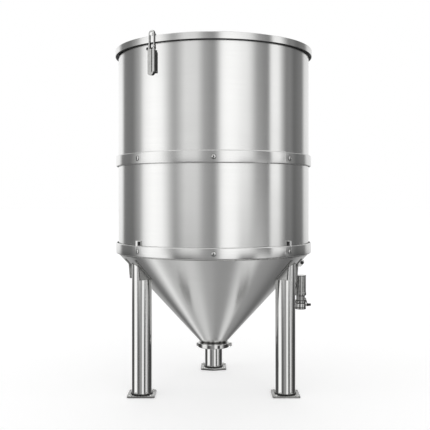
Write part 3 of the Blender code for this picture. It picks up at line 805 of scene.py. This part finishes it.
def rounded(corners, radius, steps=5):
    """A flat outline with its corners rounded."""
    points = []
    count = len(corners)
    for index, corner in enumerate(corners):
        here = Vector(corner)
        back = (Vector(corners[index - 1]) - here).normalized()
        ahead = (Vector(corners[(index + 1) % count]) - here).normalized()
        half_angle = back.angle(ahead) / 2.0
        setback = radius / math.tan(half_angle)
        middle = here + (back + ahead).normalized() * radius / math.sin(half_angle)
        first = here + back * setback - middle
        turn = first.angle_signed(here + ahead * setback - middle)
        for step in range(steps + 1):
            spoke = first.copy()
            spoke.rotate(Matrix.Rotation(-turn * step / steps, 2))
            points.append(tuple(middle + spoke))
    return points


# Outlet


def build_outlet(fitting, shaded_fitting):
    """The outlet ferrule, blank cap, clamp and wing nut, with a dark ring in the gap above the clamp and a darker band
    at the cone's bottom, both painted shade.
    """
    face = FERRULE[0].z
    flange = FERRULE[1].x
    bore = OUTLET_RADIUS - SHEET
    bevel = 0.0020
    ferrule = [
        (bore, face),
        (flange, face),
        (flange, face + FLANGE_THICKNESS - bevel),
        (OUTLET_RADIUS, face + FLANGE_THICKNESS),
        (OUTLET_RADIUS, FERRULE[1].z),
        (bore, FERRULE[1].z),
    ]
    piece("ferrule", turned(ferrule), fitting, ("outlet_ferrule",), bevel=0.0004)
    clamp_top = CLAMP_FRONT[1].z
    # A dark ring in the gap above the clamp: painted shade.
    shade_ring = [(CLAMP_LIP, clamp_top + GAP), (0.086, clamp_top + GAP), (0.086, clamp_top + 0.003), (CLAMP_LIP, clamp_top + 0.003)]
    piece("outlet_gap_shade", turned(shade_ring), shaded_fitting)
    # A darker band at the cone's bottom: painted shade above the clamp.
    shade_low, shade_high = CONE_BOTTOM + 0.0030, CONE_BOTTOM + 0.0150
    shade_band = [
        (cone_radius(shade_low), shade_low),
        (cone_radius(shade_low) + 0.0010, shade_low),
        (cone_radius(shade_high) + 0.0006, shade_high),
        (cone_radius(shade_high), shade_high),
    ]
    piece("cone_bottom_shade", turned(shade_band), shaded_fitting)
    cap_bottom, cap_top = OUTLET_CAP[0].z, OUTLET_CAP[1].z
    cap = [
        (0.0, cap_top),
        (flange, cap_top),
        (flange, cap_top - FLANGE_THICKNESS + bevel),
        (OUTLET_RADIUS, cap_bottom),
        (0.0, cap_bottom),
    ]
    piece("blank_cap", turned(cap), fitting, ("outlet_cap",), bevel=0.0004)
    build_clamp(face - GAP / 2.0, flange, fitting)


def build_clamp(joint, flange, finish):
    """The two clamp halves with hinge, bolt and wing nut."""
    bottom, top = CLAMP_FRONT[0].z, CLAMP_FRONT[1].z
    groove = flange + 0.0005
    reach = FLANGE_THICKNESS + 0.0012
    outline = [
        (CLAMP_LIP, top),
        (CLAMP_LIP, joint + reach),
        (groove, joint + reach - 0.0026),
        (groove, joint - reach + 0.0026),
        (CLAMP_LIP, joint - reach),
        (CLAMP_LIP, bottom),
        (CLAMP_OUTER - 0.003, bottom),
        (CLAMP_OUTER, bottom + 0.003),
        (CLAMP_OUTER, top - 0.003),
        (CLAMP_OUTER - 0.003, top),
    ]
    middle = (bottom + top) / 2.0
    ear = 0.006
    for half, start, sign in (("front", -90.0, -1.0), ("back", 90.0, 1.0)):
        near, far = sorted((sign * 0.003, sign * (0.003 + ear)))
        lug = [(CLAMP_OUTER - 0.004, near), (0.112, near), (0.112, far), (CLAMP_OUTER - 0.004, far)]
        hinge = [(-0.104, near), (0.004 - CLAMP_OUTER, near), (0.004 - CLAMP_OUTER, far), (-0.104, far)]
        shapes = [
            turned(outline, TURN_STEPS // 2, start + 2.0, 176.0),
            flat_plate(lug, middle - 0.009, middle + 0.009),
            flat_plate(hinge, middle - 0.009, middle + 0.009),
        ]
        piece("clamp_" + half, joined(shapes), finish, ("outlet_clamp_" + half,), bevel=0.0008)
    x = 0.1045
    shapes = [
        rod(0.004, (x, -0.026, middle), (x, 0.016, middle), 24, 0.0006),
        rod(0.0065, (x, -0.0193, middle), (x, -0.0093, middle), 32, 0.0008),
        rod(0.0065, (x, 0.0093, middle), (x, 0.0143, middle), 32, 0.0012),
    ]
    for sign in (-1.0, 1.0):
        wing = [(sign * 0.004, -0.0030), (sign * 0.0135, -0.0045), (sign * 0.0135, 0.0035), (sign * 0.004, 0.0030)]
        blade = extruded(wing, -0.0018, 0.0018, lambda u, v, depth: (depth, v, u))
        shapes.append(placed(blade, Matrix.Translation((x, -0.0153, middle))))
    piece("clamp_wing_nut", joined(shapes), finish, ("outlet_clamp_bolt",), bevel=0.0006)


# Side fitting


def build_probe(fitting, shaded_fitting, dark):
    """The probe housing on the +X side, with its nozzle, clamp and end cap."""
    centre = (PROBE[0] + PROBE[1]) / 2.0
    place = Matrix.Translation((centre.x, 0.0, 0.0))
    top = PROBE[1].z
    bottom = PROBE_CAP[0].z
    radius = PROBE_CAP[1].x - centre.x
    neck = radius * 0.80
    clamp_bottom, clamp_top = PROBE_CLAMP[0].z, PROBE_CLAMP[1].z
    split = PROBE[0].z
    housing = [
        (0.0, top),
        (radius + 0.002, top),
        (radius + 0.002, top - 0.005),
        (radius, top - 0.006),
        (radius, bottom + 0.104),
        (radius + 0.002, bottom + 0.102),
        (radius + 0.002, bottom + 0.086),
        (neck, bottom + 0.080),
        (neck, bottom + 0.056),
        (radius, bottom + 0.052),
        (radius, bottom + 0.040),
        (neck, bottom + 0.037),
        (neck, clamp_top - 0.004),
        (neck + 0.004, clamp_top - 0.005),
        (neck + 0.004, split),
        (0.0, split),
    ]
    # The housing and end cap take the darker copy of the fitting: painted shade.
    piece("housing", turned(housing, PIPE_STEPS), shaded_fitting, ("probe_housing",), place, 0.0005)
    cap = [
        (0.0, split - GAP),
        (neck + 0.004, split - GAP),
        (neck + 0.004, clamp_bottom + 0.005),
        (neck, clamp_bottom + 0.004),
        (neck, bottom + 0.013),
        (radius, bottom + 0.012),
        (radius, bottom + 0.002),
        (radius - 0.002, bottom),
        (0.0, bottom),
    ]
    piece("end_cap", turned(cap, PIPE_STEPS), shaded_fitting, ("probe_cap",), place, 0.0005)
    nozzle_radius = NOZZLE[1].y
    height = (NOZZLE[0].z + NOZZLE[1].z) / 2.0
    nozzle = rod(nozzle_radius, (cone_radius(height) - 0.03, 0.0, height), (NOZZLE[1].x, 0.0, height))
    piece("nozzle", nozzle, fitting, ("probe_nozzle",), cutters=[vessel_clearance()])
    build_probe_clamp(place, radius, neck, fitting, dark)


def build_probe_clamp(place, radius, neck, fitting, dark):
    """The clamp round the housing's joint, with its bolt, its handle and its toggle."""
    bottom, top = PROBE_CLAMP[0].z, PROBE_CLAMP[1].z
    middle = (bottom + top) / 2.0
    outer = radius - 0.001
    lip = neck + 0.0008
    outline = [
        (lip, top),
        (lip, top - 0.0035),
        (neck + 0.0045, top - 0.0047),
        (neck + 0.0045, bottom + 0.0047),
        (lip, bottom + 0.0035),
        (lip, bottom),
        (outer, bottom),
        (outer, top),
    ]
    shapes = [turned(outline, PIPE_STEPS, 92.0, 356.0)]
    for sign in (-1.0, 1.0):
        near, far = sorted((sign * 0.002, sign * 0.007))
        shapes.append(extruded(
            [(outer - 0.001, near), (radius + 0.016, near), (radius + 0.016, far), (outer - 0.001, far)],
            middle - 0.007, middle + 0.007, lambda x, y, height: (x, y, height)))
    piece("clamp_ring", joined(shapes), fitting, ("probe_clamp",), place, 0.0008)
    bolt_x = radius + 0.009
    shapes = [
        rod(0.003, (bolt_x, -0.018, middle), (bolt_x, 0.013, middle), 24, 0.0005),
        rod(0.006, (bolt_x, -0.0155, middle), (bolt_x, -0.0073, middle), 32, 0.0008),
        rod(0.006, (bolt_x, 0.0073, middle), (bolt_x, 0.0115, middle), 32, 0.0008),
        rod(0.0075, (bolt_x - 0.002, -0.0114, middle + 0.003), (radius + 0.0285, -0.0114, middle + 0.003), 32, 0.0016),
        rod(0.0026, (neck + 0.001, -0.010, top + 0.034), (bolt_x - 0.002, -0.0114, middle + 0.008), 24, 0.0005),
    ]
    piece("clamp_handle", joined(shapes), dark, ("probe_clamp_bolt",), place)
    seams = []
    for height in (top + 0.0006, bottom - 0.0006, PROBE_CAP[0].z + 0.0550):
        seam = [(neck, height - 0.0006), (radius - 0.0006, height - 0.0006), (radius - 0.0006, height + 0.0006)]
        seam.append((neck, height + 0.0006))
        seams.append(turned(seam, PIPE_STEPS))
    piece("housing_seals", joined(seams), dark, place=place)


def build_earth_lug(fitting, dark):
    """The earthing lug on the cone at the +X side, with its bolt and washer."""
    low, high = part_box("earth_lug")
    half = (high.y - low.y) / 2.0
    reach, top = high.x, high.z
    corners = [(reach - 0.060, top), (reach, top), (reach, top - 0.018), (reach - 0.020, low.z), (reach - 0.060, low.z)]
    outline = rounded(corners, 0.006)
    turn = around(90.0)
    piece("lug_plate", upright_plate(outline, -half, half), fitting, ("earth_lug",), turn, 0.0010,
          [vessel_clearance()])
    x, height = reach - 0.0135, top - 0.0165
    shapes = [
        rod(0.0105, (-half - 0.0020, -x, height), (-half + 0.0005, -x, height), 32, 0.0004),
        rod(0.0070, (-half - 0.0080, -x, height), (-half - 0.0015, -x, height), 6, 0.0006),
        rod(0.0050, (half - 0.0005, -x, height), (half + 0.0080, -x, height), 24, 0.0006),
    ]
    piece("lug_bolt", joined(shapes), dark, place=turn)


# Latches


def build_latch(side, azimuth, fitting, plate, dark):
    """One lid latch: its base on the shell, the lever, and the bail over the lid's keeper."""
    turn = around(azimuth)
    half = LATCH_WIDTH / 2.0
    lever_inner, lever_outer = LEVER_REACH
    face = SHELL_RADIUS + GAP
    shapes = [block(-0.018, 0.018, face, face + 0.006, 1.812, 1.925)]
    for sign in (-1.0, 1.0):
        near, far = sorted((sign * 0.012, sign * 0.0175))
        shapes.append(block(near, far, face + 0.005, lever_inner - GAP, 1.820, 1.936))
    # The base takes the nearly black steel: painted shade behind the lever.
    base = piece("latch_base_" + side, joined(shapes), dark, ("latch_bracket_" + side,), turn, 0.0008)
    base.visible_glossy = False

    top = TRUNNION_HEIGHT - 0.0062
    straight_end = LEVER_BOTTOM + half
    outline = [(half, top), (-LEVER_LEFT, top)]
    for x, height in half_circle(half, straight_end, 32):
        outline.append((max(-x, -LEVER_LEFT), 2.0 * straight_end - height))
    outline = list(dict.fromkeys(outline))
    slot = block(SLOT_START, half + 0.01, lever_inner + 0.003, lever_outer + 0.01, straight_end - 0.004, top + 0.01)
    lever = facing_plate(outline, lever_inner, lever_outer)
    lever = piece("latch_arm_" + side, lever, plate, ("latch_lever_" + side,), turn, 0.0012,
                  [placed(slot, turn)])
    lever.data.materials.append(dark)
    lever.visible_glossy = False
    # Painted shade: faces in the slot and faces turned to the latch's +X side take the nearly black steel.
    for face in lever.data.polygons:
        in_slot = face.center.x > SLOT_START - 0.0005 and -face.center.y < lever_outer - 0.001
        if in_slot or face.normal.x > 0.4:
            face.material_index = 1

    handle_reach = lever_outer - HANDLE_RADIUS
    handle = [
        rod(HANDLE_RADIUS, (HANDLE_X, -handle_reach, straight_end - 0.0035), (HANDLE_X, -handle_reach, top), 32, 0.001),
        rod(0.0038, (HANDLE_X, -BAIL_REACH - 0.003, top - 0.001), (HANDLE_X, -BAIL_REACH - 0.003, top + 0.012), 24),
        ball(0.0072, (HANDLE_X, -BAIL_REACH - 0.003, top + 0.0155)),
    ]
    rod_piece = piece("latch_rod_" + side, joined(handle), fitting, place=turn)
    rod_piece.visible_glossy = False

    bend = half - BAIL_BAR
    crown = BAIL_TOP - BAIL_BAR - bend
    centres = [(bend, -BAIL_REACH, TRUNNION_HEIGHT)]
    centres.extend((x, -BAIL_REACH, height) for x, height in half_circle(bend, crown, 32))
    centres.append((-bend, -BAIL_REACH, TRUNNION_HEIGHT))
    shapes = [bent_bar(centres, BAIL_BAR)]
    for x in (-bend, bend):
        collar_bottom = (x, -BAIL_REACH, TRUNNION_HEIGHT - 0.0058)
        shapes.append(rod(0.0085, collar_bottom, (x, -BAIL_REACH, TRUNNION_HEIGHT + 0.022), 32, 0.0012))
    loop = piece("latch_loop_" + side, joined(shapes), fitting, ("latch_bail_" + side,), turn)
    loop.visible_glossy = False
    loop.data.materials.append(dark)
    # Painted shade: the bail's faces turned to the latch's +X side take the nearly black steel.
    for face in loop.data.polygons:
        if face.normal.x > 0.55:
            face.material_index = 1
    ends = [
        rod(0.0050, (-half - 0.014, -BAIL_REACH, TRUNNION_HEIGHT), (half + 0.002, -BAIL_REACH, TRUNNION_HEIGHT), 32, 0.0008),
        rod(0.0085, (-half - 0.013, -BAIL_REACH, TRUNNION_HEIGHT), (-half - 0.005, -BAIL_REACH, TRUNNION_HEIGHT), 32, 0.002),
        rod(0.0066, (half - 0.004, -BAIL_REACH, TRUNNION_HEIGHT), (half + 0.002, -BAIL_REACH, TRUNNION_HEIGHT), 32, 0.001),
    ]
    pin = piece("latch_pin_" + side, joined(ends), dark, place=turn)
    pin.visible_glossy = False


def ball(radius, centre, steps=16):
    """A ball."""
    outline = []
    for step in range(steps + 1):
        angle = math.pi * step / steps
        outline.append((max(0.0, radius * math.sin(angle)), radius * math.cos(angle)))
    outline[0] = (0.0, radius)
    outline[-1] = (0.0, -radius)
    return placed(turned(outline, 32), Matrix.Translation(centre))


# Studio

# Brightness of the studio walls around the tank: (from azimuth, to azimuth, brightness at each end)
WALL_PANELS = {
    "left": (
        (-180.0, -141.0, 0.88, 0.88),
        (-132.0, -110.0, 0.19, 0.17),
        (-103.0, -96.0, 0.30, 0.42),
        (-90.0, -86.0, 0.88, 0.98),
        (-75.0, -63.0, 1.10, 1.02),
        (-50.0, -45.0, 0.43, 0.38),
        (-33.0, -19.0, 0.80, 0.76),
        (-11.0, 0.0, 0.38, 0.24),
    ),
    "right": (
        (0.0, 4.0, 0.24, 0.40),
        (8.0, 12.0, 0.90, 1.06),
        (17.0, 27.0, 1.10, 1.06),
        (40.0, 45.0, 0.92, 0.72),
        (51.0, 67.5, 0.34, 0.15),
        (70.0, 81.0, 0.94, 1.00),
        (88.0, 94.0, 0.50, 0.20),
        (101.0, 110.0, 0.24, 0.13),
        (119.0, 130.0, 0.17, 0.20),
        (138.0, 180.0, 0.70, 0.84),
    ),
}
# The same for what stands low around the tank, which its legs show
LOW_PANELS = {
    "left": (
        (-180.0, -155.0, 0.60, 0.35),
        (-135.0, -100.0, 0.06, 0.06),
        (-82.0, -56.0, 1.10, 1.10),
        (-44.0, -28.0, 0.08, 0.12),
        (-14.0, 0.0, 0.32, 0.32),
    ),
    "right": (
        (0.0, 4.0, 0.32, 0.40),
        (10.0, 24.0, 0.98, 0.98),
        (32.0, 45.0, 0.05, 0.05),
        (52.0, 61.0, 0.90, 0.80),
        (72.0, 78.0, 0.40, 0.24),
        (88.0, 135.0, 0.05, 0.05),
        (155.0, 180.0, 0.40, 0.60),
    ),
}
# Brightness of what the cone looks down at: (elevation, brightness), on the -X side and the +X side
GROUND = {
    "left": (
        (-90.0, 0.33), (-83.0, 0.34), (-76.0, 0.68), (-69.0, 0.68), (-61.0, 0.46), (-56.0, 0.56),
        (-50.0, 0.96), (-46.0, 0.62), (-41.0, 0.24), (-35.0, 0.14), (-22.0, 0.50),
    ),
    "right": (
        (-90.0, 0.33), (-77.0, 0.26), (-71.0, 0.70), (-65.0, 0.80), (-59.0, 0.34), (-50.0, 0.28),
        (-40.0, 0.16), (-34.0, 0.15), (-22.0, 0.40),
    ),
}
# How much of the walls' light is left at an elevation
WALL_LIGHT = ((-20.0, 0.85), (-4.0, 1.00), (3.0, 1.10), (8.0, 1.13), (12.0, 1.04), (30.0, 0.80))
SKY = 1.15
ZENITH = 0.50
FRONT_GROUND = 0.09


def fill_ramp(ramp, stops):
    """Set a colour ramp's stops from (position, brightness) pairs."""
    elements = ramp.color_ramp.elements
    for position, brightness in stops[1:-1]:
        element = elements.new(position)
        element.color = (brightness, brightness, brightness, 1.0)
    for element, (position, brightness) in ((elements[0], stops[0]), (elements[-1], stops[-1])):
        element.position = position
        element.color = (brightness, brightness, brightness, 1.0)


def build_world():
    """A white backdrop for the camera, and a studio of pale and dark walls for reflections."""
    world = bpy.data.worlds.new("studio")
    bpy.context.scene.world = world
    world.use_nodes = True
    nodes = world.node_tree.nodes
    links = world.node_tree.links
    nodes.clear()

    def node(kind, **settings):
        made = nodes.new(kind)
        for name, value in settings.items():
            setattr(made, name, value)
        return made

    def math_node(operation, first, second=None):
        made = node("ShaderNodeMath", operation=operation)
        for index, value in enumerate((first, second)):
            if value is None:
                continue
            if isinstance(value, (int, float)):
                made.inputs[index].default_value = value
            else:
                links.new(value, made.inputs[index])
        return made.outputs[0]

    def mix(low, high, factor):
        made = node("ShaderNodeMix", data_type="RGBA", clamp_factor=False)
        links.new(factor, made.inputs["Factor"])
        for value, socket in ((low, made.inputs["A"]), (high, made.inputs["B"])):
            if isinstance(value, tuple):
                socket.default_value = value
            else:
                links.new(value, socket)
        return made.outputs["Result"]

    def smooth_step(value, start, end):
        made = node("ShaderNodeMapRange", interpolation_type="SMOOTHSTEP")
        links.new(value, made.inputs["Value"])
        made.inputs["From Min"].default_value = start
        made.inputs["From Max"].default_value = end
        return made.outputs["Result"]

    place = node("ShaderNodeTexCoord")
    split = node("ShaderNodeSeparateXYZ")
    links.new(place.outputs["Generated"], split.inputs["Vector"])
    x, y, z = split.outputs
    turn = math_node("ARCTAN2", x, math_node("MULTIPLY", y, -1.0))
    half_turns = math_node("DIVIDE", turn, math.pi)
    elevation = math_node("DIVIDE", math_node("ARCSINE", z), math.pi / 2.0)

    def ramp_by(value, stops):
        made = node("ShaderNodeValToRGB")
        fill_ramp(made, stops)
        links.new(value, made.inputs["Fac"])
        return made.outputs["Color"]

    def panels_around(panels):
        halves = []
        for side, offset in (("left", 1.0), ("right", 0.0)):
            stops = []
            for start, end, first, last in panels[side]:
                stops.append((start / 180.0 + offset, first))
                stops.append((end / 180.0 + offset, last))
            halves.append(ramp_by(math_node("ADD", half_turns, offset), stops))
        return mix(halves[0], halves[1], math_node("GREATER_THAN", x, 0.0))

    upward = math_node("ADD", elevation, 1.0)
    light = ramp_by(math_node("MULTIPLY", upward, 0.5), [(angle / 180.0 + 0.5, left) for angle, left in WALL_LIGHT])
    wall = mix((0.0, 0.0, 0.0, 1.0), panels_around(WALL_PANELS), light)
    low = mix(panels_around(LOW_PANELS), wall, smooth_step(elevation, -0.095, -0.055))
    grounds = []
    for side in ("left", "right"):
        grounds.append(ramp_by(upward, [(angle / 90.0 + 1.0, brightness) for angle, brightness in GROUND[side]]))
    ground = mix(grounds[0], grounds[1], smooth_step(x, -0.05, 0.05))
    toward_front = smooth_step(y, -0.15, -0.40)
    in_front = mix((FRONT_GROUND, FRONT_GROUND, FRONT_GROUND, 1.0), ground, smooth_step(elevation, -0.70, -0.85))
    ground = mix(ground, in_front, toward_front)
    around_walls = mix(ground, low, smooth_step(elevation, -0.34, -0.22))
    sky = mix((SKY, SKY, SKY, 1.0), (ZENITH, ZENITH, ZENITH, 1.0), smooth_step(elevation, 0.50, 0.80))
    studio = mix(around_walls, sky, smooth_step(elevation, 0.35, 0.50))

    sight = node("ShaderNodeLightPath")
    seen = mix(studio, (1.0, 1.0, 1.0, 1.0), sight.outputs["Is Camera Ray"])
    background = node("ShaderNodeBackground")
    links.new(seen, background.inputs["Color"])
    output = node("ShaderNodeOutputWorld")
    links.new(background.outputs[0], output.inputs["Surface"])


def build_floor():
    """A pale floor that only the camera and the shadows see."""
    mesh = bmesh.new()
    bmesh.ops.create_grid(mesh, x_segments=1, y_segments=1, size=60.0)
    data = bpy.data.meshes.new("floor")
    mesh.to_mesh(data)
    mesh.free()
    floor = bpy.data.objects.new("floor", data)
    bpy.context.scene.collection.objects.link(floor)
    material = bpy.data.materials.new("floor_paper")
    material.use_nodes = True
    shader = material.node_tree.nodes["Principled BSDF"]
    shader.inputs["Base Color"].default_value = (0.80, 0.80, 0.80, 1.0)
    shader.inputs["Roughness"].default_value = 0.6
    shader.inputs["Emission Color"].default_value = (1.0, 1.0, 1.0, 1.0)
    shader.inputs["Emission Strength"].default_value = 0.42
    data.materials.append(material)
    floor.visible_glossy = False


def build_camera():
    """The photograph's view: a level camera in front, a little above the middle of the tank."""
    data = bpy.data.cameras.new("camera")
    data.sensor_width = 36.0
    data.lens = CAMERA_FOCAL / IMAGE_SIZE * data.sensor_width
    data.shift_x = (IMAGE_SIZE / 2.0 - AXIS_COLUMN) / IMAGE_SIZE
    data.shift_y = (HORIZON_ROW - IMAGE_SIZE / 2.0) / IMAGE_SIZE
    data.clip_end = 200.0
    camera = bpy.data.objects.new("camera", data)
    bpy.context.scene.collection.objects.link(camera)
    camera.location = (0.0, -CAMERA_DISTANCE, CAMERA_HEIGHT)
    camera.rotation_euler = (math.radians(90.0), 0.0, 0.0)
    bpy.context.scene.camera = camera


# The camera, fitted to the photograph: pixels in its 430 by 430 frame, and lengths in rim radii
IMAGE_SIZE = 430.0
CAMERA_FOCAL = 723.0
AXIS_COLUMN = 213.6
HORIZON_ROW = 197.4
CAMERA_DISTANCE = 7.43 * RIM_RADIUS
CAMERA_HEIGHT = 1.917 * RIM_RADIUS

LID_RISE = 0.020
MID_HOOP_SIDE_TOP = 1.387


def build_scene():
    """The tank's pieces and the studio."""
    sheet = brushed_steel("brushed_sheet", (0.84, 0.84, 0.83), (0.90, 0.90, 0.89), 0.21, anisotropic=0.8)
    bar = brushed_steel("brushed_bar", (0.82, 0.82, 0.81), (0.88, 0.88, 0.87), 0.21, anisotropic=0.8)
    tube = brushed_steel("polished_tube", (0.82, 0.82, 0.81), (0.88, 0.88, 0.87), 0.13, anisotropic=0.8)
    plate = brushed_steel("satin_plate", (0.40, 0.40, 0.39), (0.50, 0.50, 0.49), 0.24, (60.0, 60.0, 90.0), 0.0)
    fitting = polished_steel("polished_fitting", (0.66, 0.66, 0.65), (0.80, 0.80, 0.79), 0.10)
    weld = weld_metal("weld_bead")
    rubber_and_shade = black_rubber_and_shade("black_rubber_and_shade")
    # Nearly black steel, painted shade where it lines recesses, gaps and shaded sides
    dark = shade_and_dark_steel("shade_and_dark_steel")
    # A darker copy of the polished fitting: painted shade on the probe housing and end cap, the ring above the outlet
    # clamp and the band at the cone's bottom.
    shaded_fitting = polished_steel("painted_shade_fitting", (0.36, 0.36, 0.355), (0.48, 0.48, 0.47), 0.08)
    foot = brushed_steel("foot_plate", (0.30, 0.30, 0.295), (0.44, 0.44, 0.43), 0.22, (40.0, 40.0, 60.0), 0.0)
    build_shell(sheet, weld)
    build_cone(sheet)
    build_lid(sheet, rubber_and_shade)
    build_hoops(bar, fitting, rubber_and_shade, dark)
    for side in ("left", "right", "rear"):
        build_leg(side, tube, plate, foot, weld, fitting, dark)
    build_outlet(fitting, shaded_fitting)
    build_probe(fitting, shaded_fitting, dark)
    build_earth_lug(fitting, dark)
    for side, azimuth in LATCH_AZIMUTHS.items():
        build_latch(side, azimuth, fitting, plate, dark)
    build_world()
    build_floor()
    build_camera()
    bpy.context.scene.view_settings.view_transform = "Standard"


build_scene()
